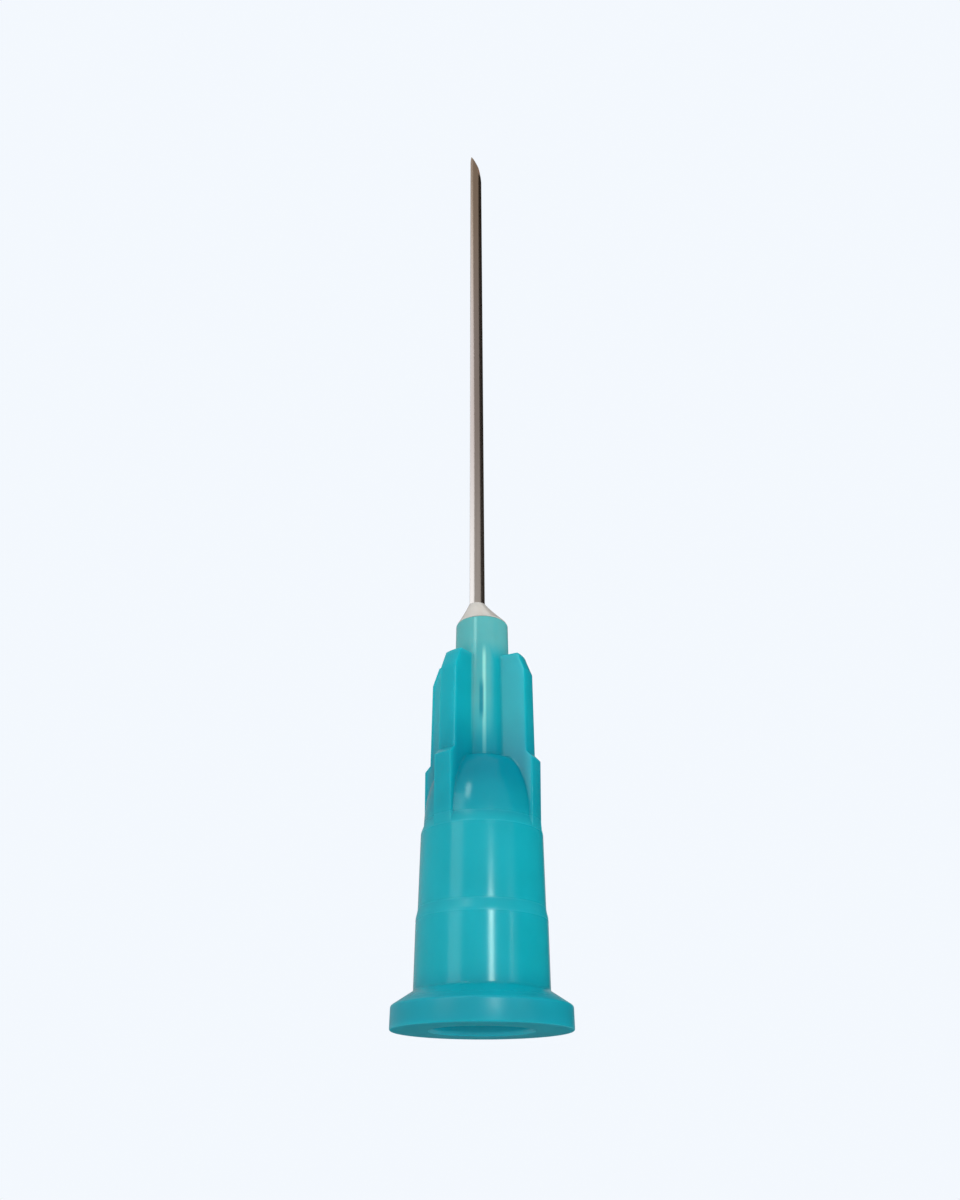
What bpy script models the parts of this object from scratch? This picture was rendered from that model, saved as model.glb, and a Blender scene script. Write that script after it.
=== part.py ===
"""A hypodermic needle: a moulded hub, a steel cannula and the adhesive that bonds them.

It stands on its flange at the origin with the point up. Every size below is in millimetres.
The cannula is bonded a little off the axis of the hub and leans very slightly, as on the real one.
"""

from math import atan2, cos, pi, radians, sin, sqrt, tan

import bmesh
import bpy
from mathutils import Vector

MM = 0.001
OVERSHOOT = 0.6

# Flange and barrel of the hub
FLANGE_RADIUS = 3.90
FLANGE_WALL = 0.88
FLANGE_EDGE = 0.10
FLANGE_SLOPE = radians(31)
FOOT_EDGE = 0.06
SKIRT_RADIUS = 2.96
SKIRT_TOP = 4.30
SKIRT_FILLET = 0.15
BARREL_RADIUS = 2.88
BARREL_DRAFT = 0.02
BARREL_TOP = 7.95
BARREL_STEP = 0.35

# Domed shoulder between the barrel and the core
SHOULDER_RADIUS = 2.73
SHOULDER_START = 8.30
SHOULDER_HEIGHT = 3.05

# Four fins crossed like an X, stepped near the foot and chamfered at the top
FIN_CROSS_DIRECTION = radians(12)
FIN_SPREAD = radians(52)
FIN_HALF_WIDTH = 0.52
FIN_CORNER = 0.12
FIN_RADIUS = 2.65
FIN_TOP = 16.60
FIN_ROOT = 0.90
FIN_FOOT_RADIUS = 2.93
FIN_STEP = 11.15
FIN_STEP_HEIGHT = 0.30
FIN_SINK = 0.03
CHAMFER_HEIGHT = 0.98
CHAMFER_DEPTH = 0.33
TOP_EDGE = 0.09

# Core and nose
CORE_RADIUS = 1.43
NOSE_RADIUS = 1.37
HUB_LENGTH = 18.70
NOSE_EDGE = 0.06

# Inside of the hub
LUER_MOUTH_RADIUS = 2.155
LUER_TAPER = 0.06
LUER_DEPTH = 9.00
LUER_LEAD_IN = 0.12
PASSAGE_RADIUS = 0.80
PASSAGE_START = 10.40
PASSAGE_END = 15.30
WELL_DEPTH = 1.30
WELL_MOUTH_RADIUS = 1.15
WELL_FLOOR_RADIUS = 0.82

# Cannula
CANNULA_RADIUS = 0.41
LUMEN_RADIUS = 0.257
VISIBLE_LENGTH = 40.0
INSERTED_LENGTH = 4.95
CANNULA_OFFSET = -0.25
CANNULA_LEAN = radians(0.33)
BEVEL_ANGLE = radians(14)
POINT_DIRECTION = radians(-55)
LANCET_ANGLE = radians(20)
LANCET_TURN = radians(38)
TUBE_END_EDGE = 0.05
GRINDING_BLOCK = (8.0, 8.0, 4.0)

# Clearances between the three pieces
BORE_CLEARANCE = 0.03
BOND_LINE = 0.02

# Adhesive bead
BEAD_RADIUS = 1.30
BEAD_BRIM = 0.06
BEAD_HEIGHT = 1.22
BEAD_TIP_THICKNESS = 0.04
BEAD_HOLLOW = 1.3

# Fineness of the curved forms
TURN_STEPS = 72
TUBE_STEPS = 40
ARC_STEPS = 5
SHOULDER_STEPS = 14
SHARP_ANGLE = radians(32)


def clear_scene():
    """Removes every object of the scene this script runs in."""
    for leftover in list(bpy.data.objects):
        bpy.data.objects.remove(leftover, do_unlink=True)


def new_collection(name, hidden=False):
    """A collection of the scene, left out of renders where it holds cutters."""
    collection = bpy.data.collections.new(name)
    collection.hide_render = hidden
    bpy.context.scene.collection.children.link(collection)
    return collection


def new_material(name, colour, roughness, metallic=0.0):
    """A plain material for the solid model."""
    material = bpy.data.materials.new(name)
    material.use_nodes = True
    shader = material.node_tree.nodes["Principled BSDF"]
    shader.inputs["Base Color"].default_value = (*colour, 1.0)
    shader.inputs["Roughness"].default_value = roughness
    shader.inputs["Metallic"].default_value = metallic
    return material


def add_object(name, mesh, collection):
    """An object for this mesh, shown as wires where it is a cutter."""
    made = bpy.data.objects.new(name, mesh)
    collection.objects.link(made)
    if collection.hide_render:
        made.display_type = "WIRE"
        made.hide_render = True
    return made


def arc(centre_x, centre_z, radius_x, radius_z, start, end, steps=ARC_STEPS):
    """Points of an elliptical arc in the profile plane, from one angle to the other."""
    turns = [start + (end - start) * i / steps for i in range(steps + 1)]
    return [(centre_x + radius_x * cos(a), centre_z + radius_z * sin(a)) for a in turns]


def revolve(name, points, collection, steps=TURN_STEPS, closed=False):
    """A solid of revolution whose profile runs down its outer side, closed on itself for a tube."""
    mesh = bpy.data.meshes.new(name)
    places = [(x * MM, 0.0, z * MM) for x, z in points]
    edges = [(i, i + 1) for i in range(len(places) - 1)]
    if closed:
        edges.append((len(places) - 1, 0))
    mesh.from_pydata(places, edges, [])
    made = add_object(name, mesh, collection)
    screw = made.modifiers.new("Turn", "SCREW")
    screw.steps = steps
    screw.render_steps = steps
    screw.use_merge_vertices = True
    screw.merge_threshold = 0.00001
    return made


def loft(name, bodies, collection):
    """Closed bodies, each a run of level rings with equal point counts and a flat cap at both ends."""
    build = bmesh.new()
    for rings in bodies:
        rows = [[build.verts.new(Vector(p) * MM) for p in ring] for ring in rings]
        for lower, upper in zip(rows, rows[1:]):
            for i in range(len(lower)):
                j = (i + 1) % len(lower)
                build.faces.new((lower[i], lower[j], upper[j], upper[i]))
        build.faces.new(list(reversed(rows[0])))
        build.faces.new(rows[-1])
    bmesh.ops.recalc_face_normals(build, faces=build.faces)
    mesh = bpy.data.meshes.new(name)
    build.to_mesh(mesh)
    build.free()
    return add_object(name, mesh, collection)


def cylinder(name, radius, length, centre, lean, collection):
    """A round bar of the cannula's fineness, centred on a point and leaning towards -X."""
    build = bmesh.new()
    bmesh.ops.create_cone(build, cap_ends=True, segments=TUBE_STEPS, radius1=radius * MM,
                          radius2=radius * MM, depth=length * MM)
    mesh = bpy.data.meshes.new(name)
    build.to_mesh(mesh)
    build.free()
    made = add_object(name, mesh, collection)
    made.location = Vector(centre) * MM
    made.rotation_euler = (0.0, -lean, 0.0)
    return made


def finish(made, material):
    """Applies a piece's steps, gives it its material and shades its round faces smooth."""
    evaluated = made.evaluated_get(bpy.context.evaluated_depsgraph_get())
    mesh = bpy.data.meshes.new_from_object(evaluated)
    made.modifiers.clear()
    made.data = mesh
    mesh.materials.clear()
    mesh.materials.append(material)
    mesh.shade_smooth()
    mesh.set_sharp_from_angle(angle=SHARP_ANGLE)


def combine(target, other, operation):
    """An exact Boolean of the target with another object."""
    step = target.modifiers.new(f"{operation.title()} {other.name}", "BOOLEAN")
    step.object = other
    step.operation = operation
    step.solver = "EXACT"


def cannula_axis(height):
    """The centre of the cannula at a height, with its offset at the nose and its lean."""
    return CANNULA_OFFSET - tan(CANNULA_LEAN) * (height - HUB_LENGTH)


def circle(centre_x, height, radius, steps):
    """A level ring of points round a centre on the X axis."""
    turns = [2 * pi * i / steps for i in range(steps)]
    return [(centre_x + radius * cos(a), radius * sin(a), height) for a in turns]


def hub_profile():
    """The outside of the hub from the nose to the foot, without its fins."""
    nose = [(0.0, HUB_LENGTH)]
    nose += arc(NOSE_RADIUS - NOSE_EDGE, HUB_LENGTH - NOSE_EDGE, NOSE_EDGE, NOSE_EDGE, pi / 2, 0)
    shoulder = arc(CORE_RADIUS, SHOULDER_START, SHOULDER_RADIUS - CORE_RADIUS, SHOULDER_HEIGHT,
                   pi / 2, 0, SHOULDER_STEPS)
    barrel_end = BARREL_RADIUS - BARREL_DRAFT
    barrel = [(barrel_end, BARREL_TOP)]
    barrel += [(BARREL_RADIUS, SKIRT_TOP + BARREL_STEP), (SKIRT_RADIUS, SKIRT_TOP)]
    fillet_reach = SKIRT_RADIUS + SKIRT_FILLET
    rim_reach = FLANGE_RADIUS - FLANGE_EDGE
    slope_run = rim_reach - fillet_reach + (FLANGE_EDGE + SKIRT_FILLET) * sin(FLANGE_SLOPE)
    slope_rise = slope_run * tan(FLANGE_SLOPE)
    fillet_height = FLANGE_WALL + (FLANGE_EDGE + SKIRT_FILLET) * cos(FLANGE_SLOPE) + slope_rise
    skirt = arc(fillet_reach, fillet_height, SKIRT_FILLET, SKIRT_FILLET,
                pi, 1.5 * pi - FLANGE_SLOPE)
    rim = arc(rim_reach, FLANGE_WALL, FLANGE_EDGE, FLANGE_EDGE, pi / 2 - FLANGE_SLOPE, 0)
    foot = [(FLANGE_RADIUS, FOOT_EDGE), (FLANGE_RADIUS - FOOT_EDGE, 0.0), (0.0, 0.0)]
    return nose + shoulder + barrel + skirt + rim + foot


def fin_section(height, radius, half_width, direction):
    """One fin cut level: two parallel side faces, rounded outer corners and an arc between them."""
    across = half_width - FIN_CORNER
    along = sqrt((radius - FIN_CORNER) ** 2 - across ** 2)
    bearing = atan2(across, along)
    outline = [(FIN_ROOT, -half_width)]
    outline += arc(along, -across, FIN_CORNER, FIN_CORNER, -pi / 2, -bearing)
    outline += arc(0.0, 0.0, radius, radius, -bearing, bearing)[1:-1]
    outline += arc(along, across, FIN_CORNER, FIN_CORNER, bearing, pi / 2)
    outline.append((FIN_ROOT, half_width))
    facing = direction - pi / 2
    return [(x * cos(facing) - y * sin(facing), x * sin(facing) + y * cos(facing), height)
            for x, y in outline]


def fin_rings(direction):
    """The level rings of a fin: its stepped foot, its straight edge, its chamfer and its top."""
    step_top = FIN_STEP + FIN_STEP_HEIGHT
    crown_radius = FIN_RADIUS - CHAMFER_DEPTH
    root_radius = BARREL_RADIUS - BARREL_DRAFT - FIN_SINK
    levels = [(BARREL_TOP - OVERSHOOT, root_radius, FIN_HALF_WIDTH),
              (FIN_STEP, FIN_FOOT_RADIUS, FIN_HALF_WIDTH),
              (step_top, FIN_RADIUS, FIN_HALF_WIDTH),
              (FIN_TOP - CHAMFER_HEIGHT, FIN_RADIUS, FIN_HALF_WIDTH),
              (FIN_TOP - TOP_EDGE, crown_radius, FIN_HALF_WIDTH),
              (FIN_TOP, crown_radius - TOP_EDGE, FIN_HALF_WIDTH - TOP_EDGE)]
    return [fin_section(*level, direction) for level in levels]


def make_fins(collection):
    """The four fins as separate columns rooted in the core."""
    directions = [FIN_CROSS_DIRECTION + side * FIN_SPREAD + half_turn
                  for half_turn in (0.0, pi) for side in (-1, 1)]
    return loft("fins", [fin_rings(direction) for direction in directions], collection)


def make_socket_cutter(collection):
    """The Luer socket, the cone above it and the passage round the end of the cannula."""
    end_radius = LUER_MOUTH_RADIUS - LUER_TAPER / 2 * LUER_DEPTH
    lead_in = LUER_MOUTH_RADIUS - LUER_TAPER / 2 * LUER_LEAD_IN
    points = [(0.0, PASSAGE_END), (PASSAGE_RADIUS, PASSAGE_END), (PASSAGE_RADIUS, PASSAGE_START)]
    points += [(end_radius, LUER_DEPTH), (lead_in, LUER_LEAD_IN)]
    flare = (lead_in + LUER_LEAD_IN, 0.0)
    points += [flare, (flare[0] + OVERSHOOT, -OVERSHOOT), (0.0, -OVERSHOOT)]
    return revolve("socket", points, collection)


def make_bore_cutter(name, clearance, bottom, top, collection):
    """A round bar along the cannula's own axis, wider than the cannula by a clearance."""
    middle = (bottom + top) / 2
    centre = (cannula_axis(middle), 0.0, middle)
    return cylinder(name, CANNULA_RADIUS + clearance, top - bottom, centre, CANNULA_LEAN, collection)


def make_well_cutter(collection):
    """The well in the top of the nose that the adhesive fills."""
    slope = (WELL_MOUTH_RADIUS - WELL_FLOOR_RADIUS) / WELL_DEPTH
    above = (WELL_MOUTH_RADIUS + slope * OVERSHOOT, HUB_LENGTH + OVERSHOOT)
    floor = HUB_LENGTH - WELL_DEPTH
    points = [(0.0, above[1]), above, (WELL_FLOOR_RADIUS, floor), (0.0, floor)]
    return revolve("well", points, collection)


def make_hub(parts, cutters):
    """The moulded hub: barrel, shoulder, fins and nose in one piece, with its inside cut."""
    hub = revolve("hub", hub_profile(), parts)
    combine(hub, make_fins(cutters), "UNION")
    combine(hub, make_socket_cutter(cutters), "DIFFERENCE")
    combine(hub, make_well_cutter(cutters), "DIFFERENCE")
    bore = make_bore_cutter("bore", BORE_CLEARANCE, PASSAGE_END - OVERSHOOT,
                            HUB_LENGTH - WELL_DEPTH + OVERSHOOT, cutters)
    combine(hub, bore, "DIFFERENCE")
    finish(hub, new_material("hub_plastic", (0.012, 0.38, 0.42), 0.25))


def facet_cutter(name, tip, angle, direction, collection):
    """A block whose lower face is the ground plane of a facet that passes through a point."""
    size = Vector(GRINDING_BLOCK) * MM
    build = bmesh.new()
    bmesh.ops.create_cube(build, size=1.0)
    bmesh.ops.scale(build, vec=size, verts=build.verts)
    bmesh.ops.translate(build, vec=(0.0, 0.0, size.z / 2), verts=build.verts)
    mesh = bpy.data.meshes.new(name)
    build.to_mesh(mesh)
    build.free()
    cutter = add_object(name, mesh, collection)
    cutter.location = Vector(tip) * MM
    cutter.rotation_euler = (pi / 2 - angle, 0.0, direction)
    return cutter


def tube_profile():
    """The wall of the cannula cut lengthwise, with its lower end lightly broken all round."""
    top = INSERTED_LENGTH + VISIBLE_LENGTH + OVERSHOOT
    return [(LUMEN_RADIUS, top), (CANNULA_RADIUS, top), (CANNULA_RADIUS, TUBE_END_EDGE),
            (CANNULA_RADIUS - TUBE_END_EDGE, 0.0), (LUMEN_RADIUS + TUBE_END_EDGE, 0.0),
            (LUMEN_RADIUS, TUBE_END_EDGE)]


def make_cannula(parts, cutters):
    """The steel tube, ground to a point with one long facet and two short lancet facets."""
    cannula = revolve("cannula", tube_profile(), parts, TUBE_STEPS, closed=True)
    foot = HUB_LENGTH - INSERTED_LENGTH
    cannula.location = Vector((cannula_axis(foot), 0.0, foot)) * MM
    cannula.rotation_euler = (0.0, -CANNULA_LEAN, 0.0)
    point_height = HUB_LENGTH + VISIBLE_LENGTH
    tip = (cannula_axis(point_height) + CANNULA_RADIUS * sin(POINT_DIRECTION),
           -CANNULA_RADIUS * cos(POINT_DIRECTION), point_height)
    facing = POINT_DIRECTION + pi
    facets = [("long_facet", BEVEL_ANGLE, facing),
              ("left_lancet_facet", LANCET_ANGLE, facing - LANCET_TURN),
              ("right_lancet_facet", LANCET_ANGLE, facing + LANCET_TURN)]
    for name, angle, direction in facets:
        combine(cannula, facet_cutter(name, tip, angle, direction, cutters), "DIFFERENCE")
    finish(cannula, new_material("cannula_steel", (0.62, 0.60, 0.56), 0.22, 1.0))


def bead_rings():
    """The bead from the floor of the well over the brim to its thin end round the cannula."""
    floor = HUB_LENGTH - WELL_DEPTH + BOND_LINE
    slope = (WELL_MOUTH_RADIUS - WELL_FLOOR_RADIUS) / WELL_DEPTH
    brim = HUB_LENGTH + BOND_LINE
    neck_radius = WELL_MOUTH_RADIUS - BOND_LINE
    rings = [circle(0.0, floor, neck_radius - slope * (brim - floor), TUBE_STEPS)]
    rings.append(circle(0.0, brim, neck_radius, TUBE_STEPS))
    rings.append(circle(0.0, brim, BEAD_RADIUS, TUBE_STEPS))
    tip_radius = CANNULA_RADIUS + BOND_LINE + BEAD_TIP_THICKNESS
    steps = 2 * ARC_STEPS
    for i in range(steps + 1):
        spread = (1 - i / steps) ** BEAD_HOLLOW
        height = brim + BEAD_BRIM + (BEAD_HEIGHT - BEAD_BRIM) * i / steps
        radius = tip_radius + (BEAD_RADIUS - tip_radius) * spread
        rings.append(circle(cannula_axis(height) * (1 - spread), height, radius, TUBE_STEPS))
    return rings


def make_adhesive(parts, cutters):
    """The cured adhesive bead in the well of the nose and up the cannula."""
    adhesive = loft("adhesive", [bead_rings()], parts)
    hole = make_bore_cutter("adhesive_hole", BOND_LINE, HUB_LENGTH - WELL_DEPTH - OVERSHOOT,
                            HUB_LENGTH + BEAD_HEIGHT + OVERSHOOT, cutters)
    combine(adhesive, hole, "DIFFERENCE")
    finish(adhesive, new_material("adhesive_resin", (0.72, 0.68, 0.60), 0.18))


def main():
    """Builds the needle."""
    clear_scene()
    parts = new_collection("hypodermic needle")
    cutters = new_collection("cutters", hidden=True)
    make_hub(parts, cutters)
    make_cannula(parts, cutters)
    make_adhesive(parts, cutters)


main()
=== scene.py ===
"""Looks for a hypodermic needle: a translucent moulded hub, a ground steel cannula and its adhesive.

Sizes are in metres. The hub stands on its flange at the origin and the point is up, along +Z.
The photographed side faces -Y.
"""

import bpy
import numpy as np
from bpy.props import FloatProperty, FloatVectorProperty, IntProperty, PointerProperty
from bpy.types import Operator, Panel, PropertyGroup
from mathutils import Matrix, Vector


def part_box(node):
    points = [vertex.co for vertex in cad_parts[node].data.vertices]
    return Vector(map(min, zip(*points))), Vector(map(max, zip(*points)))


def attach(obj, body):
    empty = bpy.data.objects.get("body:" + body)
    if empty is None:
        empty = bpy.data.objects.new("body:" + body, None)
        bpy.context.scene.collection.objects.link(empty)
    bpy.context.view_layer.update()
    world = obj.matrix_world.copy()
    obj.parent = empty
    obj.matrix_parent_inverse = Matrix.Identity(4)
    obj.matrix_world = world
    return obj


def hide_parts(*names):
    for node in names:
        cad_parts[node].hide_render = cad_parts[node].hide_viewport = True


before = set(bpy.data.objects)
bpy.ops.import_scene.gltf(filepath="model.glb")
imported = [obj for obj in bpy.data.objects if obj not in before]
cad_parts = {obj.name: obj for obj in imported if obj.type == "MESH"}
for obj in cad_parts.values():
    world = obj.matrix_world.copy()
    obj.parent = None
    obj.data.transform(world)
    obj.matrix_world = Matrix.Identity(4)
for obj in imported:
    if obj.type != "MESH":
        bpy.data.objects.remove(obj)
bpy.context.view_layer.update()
FLANGE_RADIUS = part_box("hub")[1].x
HUB_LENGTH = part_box("hub")[1].z
CANNULA_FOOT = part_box("cannula")[0].z
POINT_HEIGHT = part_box("cannula")[1].z
BEAD_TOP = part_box("adhesive")[1].z
BEAD_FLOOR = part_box("adhesive")[0].z

MM = 0.001
BODY = "root"

# Roundings and small steps of the hub's profile.
NOSE_ROUNDING = 0.09 * MM
OUTER_ROUNDING = 0.07 * MM
INNER_ROUNDING = 0.06 * MM
MOUTH_CHAMFER = 0.12 * MM
BARREL_DRAFT = 0.02 * MM
LEDGE_RISE = 0.35 * MM
FOOT_FADE = 0.05 * MM
SOCKET_TAPER = 0.03

# Looks: the heights of the hub's two ledges in millimetres, the roughness where it is dull, the
# noise values that a look spreads over, and the middle and radii of the steel's rust-brown spot.
LEDGES = (4.45, 8.15)
MATT_ROUGHNESS = 0.32
NOISE_RANGE = (0.2, 0.8)
SPOT_MIDDLE = (-0.20 * MM, -0.32 * MM, 56.9 * MM)
SPOT_RADII = (0.17 * MM, 0.30 * MM, 0.70 * MM)

# Stage: lamps and cards by name, azimuth and elevation in degrees. Then a lamp has its width and
# height, its glow, its tint and the piece it is kept to, and a card its distance, size and shade.
WHITE = (1.0, 1.0, 1.0)
MINT = (0.80, 1.0, 0.90)
COOL = (0.80, 0.90, 1.0)
SOFT_LAMPS = (
    ("key", 10, 30, (0.20, 0.20), 1.55, WHITE, None),
    ("bounce", 0, -45, (0.30, 0.30), 0.30, WHITE, None),
)
GLOSS_LAMPS = (
    ("main_strip", 15.5, 10, (0.042, 0.034), 4.0, MINT, "hub_body"),
    ("main_core", 15.5, 8.6, (0.026, 0.012), 85, MINT, "hub_body"),
    ("left_strip", -47, 15, (0.10, 0.13), 1.5, MINT, "hub_body"),
    ("right_strip", 51, 8.5, (0.03, 0.02), 4, MINT, "hub_body"),
    ("dome_spot", -30, 33, (0.040, 0.050), 7, MINT, "hub_body"),
    ("left_box", -97, 38, (0.44, 0.18), 0.85, COOL, "cannula_tube"),
)
CARDS = (
    ("right_card", 110, 25, 0.3, 0.6, 0.03),
    ("under_card", 180, -20, 0.3, 0.2, 0.05),
)
CARD_TINT = (1.0, 0.85, 0.7)
LAMP_DISTANCE = 0.25
SQUARE = ((-1, -1), (1, -1), (1, 1), (-1, 1))
FLOOR_REACH = 0.6
FLOOR_DROP = 0.02 * MM
FLOOR_SHADE = 0.98
FLOOR_FADE = (0.03, 0.13)
FILL_TINT = (0.97, 0.98, 1.0)
SHEEN_TINT = (1.0, 0.99, 0.97)

# Camera: the width of its sensor, and its shift as pixels of a picture this high.
SENSOR_WIDTH = 36.0
PICTURE_HEIGHT = 1200
SHIFT_ACROSS = -2
SHIFT_UP = -120

bl_info = {
    "name": "Hypodermic needle",
    "version": (1, 0, 0),
    "blender": (4, 5, 0),
    "location": "View3D > Sidebar > Needle",
    "description": "Builds a hypodermic needle with a finned translucent hub",
    "category": "Add Mesh",
}


def length(name, description, default_mm):
    """A length property with its default given in millimetres."""
    return FloatProperty(name=name, description=description, default=default_mm * MM,
                         unit="LENGTH", subtype="DISTANCE", precision=5)


def angle(name, description, degrees):
    """An angle property with its default given in degrees."""
    return FloatProperty(name=name, description=description, default=np.radians(degrees),
                         unit="ROTATION", subtype="ANGLE")


def colour(name, description, default):
    """A colour property in linear light."""
    return FloatVectorProperty(name=name, description=description, default=default,
                               subtype="COLOR", size=3, min=0.0, max=1.0)


class HubSizes(PropertyGroup):
    """Outside and inside of the moulded hub."""
    flange_radius: FloatProperty(name="Flange radius", description="Radius of the round flange",
                                 default=FLANGE_RADIUS, unit="LENGTH", subtype="DISTANCE")
    flange_wall: length("Flange wall", "Height of the flange's upright edge", 0.88)
    flange_slope: angle("Flange slope", "Slope of the flange's upper face", 31)
    skirt_radius: length("Skirt radius", "Radius just above the flange", 2.96)
    skirt_top: length("Skirt top", "Height of the step above the skirt", 4.30)
    barrel_radius: length("Barrel radius", "Radius of the barrel round the socket", 2.88)
    barrel_top: length("Barrel top", "Height at which the barrel ends", 7.95)
    shoulder_radius: length("Shoulder radius", "Radius of the foot of the domed shoulder", 2.73)
    shoulder_start: length("Shoulder start", "Height of the foot of the domed shoulder", 8.30)
    shoulder_height: length("Shoulder height", "Height of the domed shoulder", 3.05)
    core_radius: length("Core radius", "Radius of the core between the fins", 1.43)
    nose_radius: length("Nose radius", "Radius at the top of the nose", 1.37)
    well_mouth: length("Well mouth", "Radius of the adhesive well at the top", 1.15)
    well_floor: length("Well floor", "Radius of the adhesive well at its floor", 0.82)
    well_depth: length("Well depth", "Depth of the adhesive well", 1.30)
    socket_mouth: length("Socket mouth", "Radius of the tapered socket at the flange", 2.155)
    socket_depth: length("Socket depth", "Length of the tapered socket", 9.0)
    passage_radius: length("Passage radius", "Radius of the passage above the socket", 0.80)
    passage_start: length("Passage start", "Height at which the passage starts", 10.40)
    passage_end: length("Passage end", "Height at which the passage ends", 15.30)
    bore_radius: length("Bore radius", "Radius of the bore that holds the cannula", 0.44)


class FinSizes(PropertyGroup):
    """The four fins of the hub, crossed like an X."""
    cross_direction: angle("Cross direction", "Direction of the wide slot, clockwise from the front", 12)
    spread: angle("Spread", "Angle of a fin from the middle of the wide slot", 52)
    half_width: length("Half width", "Half the thickness of a fin", 0.52)
    radius: length("Radius", "Reach of a fin above its step", 2.65)
    foot_radius: length("Foot radius", "Reach of a fin just below its step", 2.93)
    heel_radius: length("Heel radius", "Reach of a fin at its lower end, inside the barrel", 2.83)
    heel_height: length("Heel height", "Height of a fin's lower end", 7.35)
    crown_radius: length("Crown radius", "Reach of a fin at its top", 2.32)
    step_height: length("Step height", "Height at which the step starts", 11.15)
    step_rise: length("Step rise", "Height that the step takes", 0.30)
    top_height: length("Top height", "Height of the fins' flat tops", 16.60)
    chamfer_height: length("Chamfer height", "Height of the chamfer at the top", 0.98)
    edge: length("Edge", "Rounding of the fins' upper edges", 0.09)
    corner: length("Corner", "How far the outer corners are rounded", 0.16)
    fillet: length("Fillet", "How far the fins blend into the core", 0.12)


class CannulaSizes(PropertyGroup):
    """The ground steel tube."""
    radius: length("Radius", "Outer radius of the tube", 0.41)
    lumen: length("Lumen", "Inner radius of the tube", 0.257)
    offset: length("Offset", "Place of the tube across the nose, at its top", -0.25)
    lean: angle("Lean", "Lean of the tube towards -X", 0.33)
    end_edge: length("End edge", "Broken edge at the lower end", 0.05)
    point_direction: angle("Point direction", "Side of the tube that the tip is on", -55)
    bevel: angle("Bevel", "Angle of the long facet", 14)
    lancet: angle("Lancet", "Angle of the two short facets", 20)
    lancet_turn: angle("Lancet turn", "How far the short facets are turned", 38)
    columns: IntProperty(name="Columns", description="Steps round the tube", default=128, min=24)


class AdhesiveSizes(PropertyGroup):
    """The cured bead in the nose."""
    radius: length("Radius", "Radius of the bead on the nose", 1.30)
    brim: length("Brim", "Thickness of the bead at the nose's edge", 0.06)
    hollow: FloatProperty(name="Hollow", description="How hollow the bead's slope is, 1 for a cone",
                          default=1.12, min=1.0)
    tip: length("Tip", "Thickness of the bead at its upper end", 0.04)
    bond_line: length("Bond line", "Gap to the hub and the cannula", 0.02)


class FinishColours(PropertyGroup):
    """Colours of the hub's plastic, the cannula's steel and the adhesive, with painted shade, light,
    highlight and reflection among them.
    """
    plastic: colour("Plastic", "Hub plastic where its wall is thin", (0.004, 0.49, 0.57))
    # Also used as painted shade over the domed shoulder and the fins' lower parts.
    solid_and_shade: colour("Solid plastic", "Hub plastic where it is thick", (0.0, 0.31, 0.41))
    # A painted highlight: the bright mint stripe on the core.
    lit: colour("Lit", "Core with light coming through it", (0.42, 0.95, 0.86))
    # Also the painted light of the lighter stripe down the core's lit side.
    nose: colour("Nose plastic", "Hub plastic with adhesive behind it", (0.14, 0.57, 0.58))
    # Painted reflection: the steel by the hub, brightened as if it reflects more of the bright
    # surroundings.
    steel_with_painted_reflection: colour("Bright steel", "Drawn stainless steel by the hub", (0.92, 0.82, 0.75))
    steel: colour("Steel", "Drawn stainless steel", (0.61, 0.50, 0.45))
    warm_steel: colour("Warm steel", "Ground stainless steel near the point", (0.53, 0.38, 0.27))
    rust: colour("Rust", "Small rust-brown spot beside the bevel", (0.15, 0.040, 0.012))
    resin: colour("Resin", "Cured adhesive", (0.84, 0.79, 0.71))


class StageSettings(PropertyGroup):
    """Camera, lamps and backdrop."""
    distance: length("Distance", "Distance of the camera from the axis", 45.8)
    height: length("Height", "Height of the camera over the flange's underside", -3.9)
    tilt: angle("Tilt", "How far the camera looks up", 35.1)
    lens: FloatProperty(name="Lens", description="Focal length in millimetres", default=28.38)
    backdrop: colour("Backdrop", "Colour behind the needle", (0.90, 0.94, 0.99))
    fill: FloatProperty(name="Fill", description="Strength of the light from all round", default=0.80)
    sheen: FloatProperty(name="Sheen", description="Strength of that light in the gloss", default=0.34)
    lamps: FloatProperty(name="Lamps", description="Strength of all the lamps", default=1.0)


def shape_mesh(name, points, sharp_degrees=32):
    """A closed piece from a grid of points that joins up in both directions.

    points[row, column] is a place in metres. The faces join each point to its neighbours in the
    next row and the next column, and the last row and column join the first ones.
    """
    rows, columns = points.shape[:2]
    row, column = np.meshgrid(np.arange(rows), np.arange(columns), indexing="ij")
    next_row = (row + 1) % rows
    next_column = (column + 1) % columns
    corners = [row * columns + column, next_row * columns + column,
               next_row * columns + next_column, row * columns + next_column]
    faces = np.stack(corners, axis=-1).reshape(-1, 4)
    mesh = bpy.data.meshes.new(name)
    mesh.from_pydata(points.reshape(-1, 3), [], faces.tolist())
    mesh.shade_smooth()
    mesh.set_sharp_from_angle(angle=np.radians(sharp_degrees))
    piece = bpy.data.objects.new(name, mesh)
    bpy.context.scene.collection.objects.link(piece)
    return piece


def dress(piece, node, material):
    """Puts a piece on the frame in place of its CAD node, with its material."""
    piece.data.materials.append(material)
    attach(piece, BODY)
    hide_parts(node)


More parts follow.
